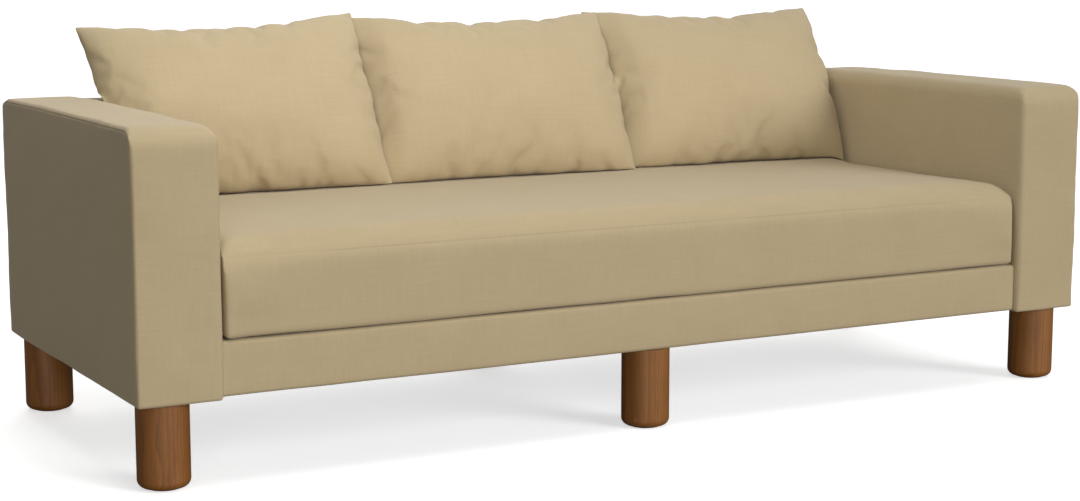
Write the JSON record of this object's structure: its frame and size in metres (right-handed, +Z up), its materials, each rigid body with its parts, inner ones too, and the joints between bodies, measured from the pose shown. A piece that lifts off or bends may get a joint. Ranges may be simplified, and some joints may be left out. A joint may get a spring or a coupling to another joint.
{
  "type": "sofa",
  "caption": "Long upholstered sofa with straight box arms, a loose bench cushion, loose leaning back pillows and thick round wooden legs.",
  "frame": {"origin": "on the floor, under the middle of the sofa's width and depth", "axes": "+X across the sofa to the right as seen from the front, +Y from the front to the back, +Z up"},
  "size_m": [2.13, 0.84, 0.797],
  "materials": {
    "leg": "satin",
    "glide": "matte",
    "steel": "satin",
    "timber": "matte",
    "hardboard": "matte",
    "webbing": "matte",
    "felt": "matte",
    "foam": "matte",
    "upholstery": "matte",
    "cambric": "matte",
    "zip_tape": "matte",
    "zip_metal": "satin"
  },
  "bodies": {
    "frame": {"leg_front_left": "leg", "leg_front_middle": "leg", "leg_front_right": "leg", "leg_rear_left": "leg", "leg_rear_middle": "leg", "leg_rear_right": "leg", "leg_glides": "glide", "hanger_bolts": "steel", "tee_nuts": "steel", "frame_bolts": "steel", "frame_nuts": "steel", "seat_front_rail": "timber", "seat_rear_rail": "timber", "seat_end_rail_left": "timber", "seat_end_rail_right": "timber", "seat_centre_rail": "timber", "corner_blocks": "timber", "back_top_rail": "timber", "back_bottom_rail": "timber", "back_posts": "timber", "seat_webbing": "webbing", "cross_webbing": "webbing", "back_webbing": "webbing", "deck_pad": "felt", "deck_cover": "upholstery", "front_rail_cover": "upholstery", "back_cover": "upholstery", "front_rail_padding": "foam", "back_padding": "foam", "dust_cover": "cambric", "back_panel": "hardboard", "arm_left_boards": "timber", "arm_left_posts": "timber", "arm_left_rail": "timber", "arm_left_panels": "hardboard", "arm_left_padding": "foam", "arm_left_cover": "upholstery", "arm_right_boards": "timber", "arm_right_posts": "timber", "arm_right_rail": "timber", "arm_right_panels": "hardboard", "arm_right_padding": "foam", "arm_right_cover": "upholstery"},
    "bench_cushion": {"bench_core": "foam", "bench_cover": "upholstery", "bench_zip_tape": "zip_tape"},
    "zip_slider": {"bench_zip_slider": "zip_metal"},
    "pillow_left": {"pillow_left_filling": "foam", "pillow_left_cover": "upholstery"},
    "pillow_middle": {"pillow_middle_filling": "foam", "pillow_middle_cover": "upholstery"},
    "pillow_right": {"pillow_right_filling": "foam", "pillow_right_cover": "upholstery"}
  },
  "joints": [
    {"name": "bench_draw", "type": "slide", "parent": "frame", "child": "bench_cushion", "axis": [0, -1, 0], "range_m": [0, 0.72]},
    {"name": "pillow_left_lift", "type": "slide", "parent": "bench_cushion", "child": "pillow_left", "axis": [0, 0, 1], "range_m": [0, 0.22]},
    {"name": "pillow_middle_lift", "type": "slide", "parent": "bench_cushion", "child": "pillow_middle", "axis": [0, 0, 1], "range_m": [0, 0.22]},
    {"name": "pillow_right_lift", "type": "slide", "parent": "bench_cushion", "child": "pillow_right", "axis": [0, 0, 1], "range_m": [0, 0.22]},
    {"name": "zip_slide", "type": "slide", "parent": "bench_cushion", "child": "zip_slider", "axis": [-1, 0, 0], "range_m": [0, 1.36]}
  ]
}
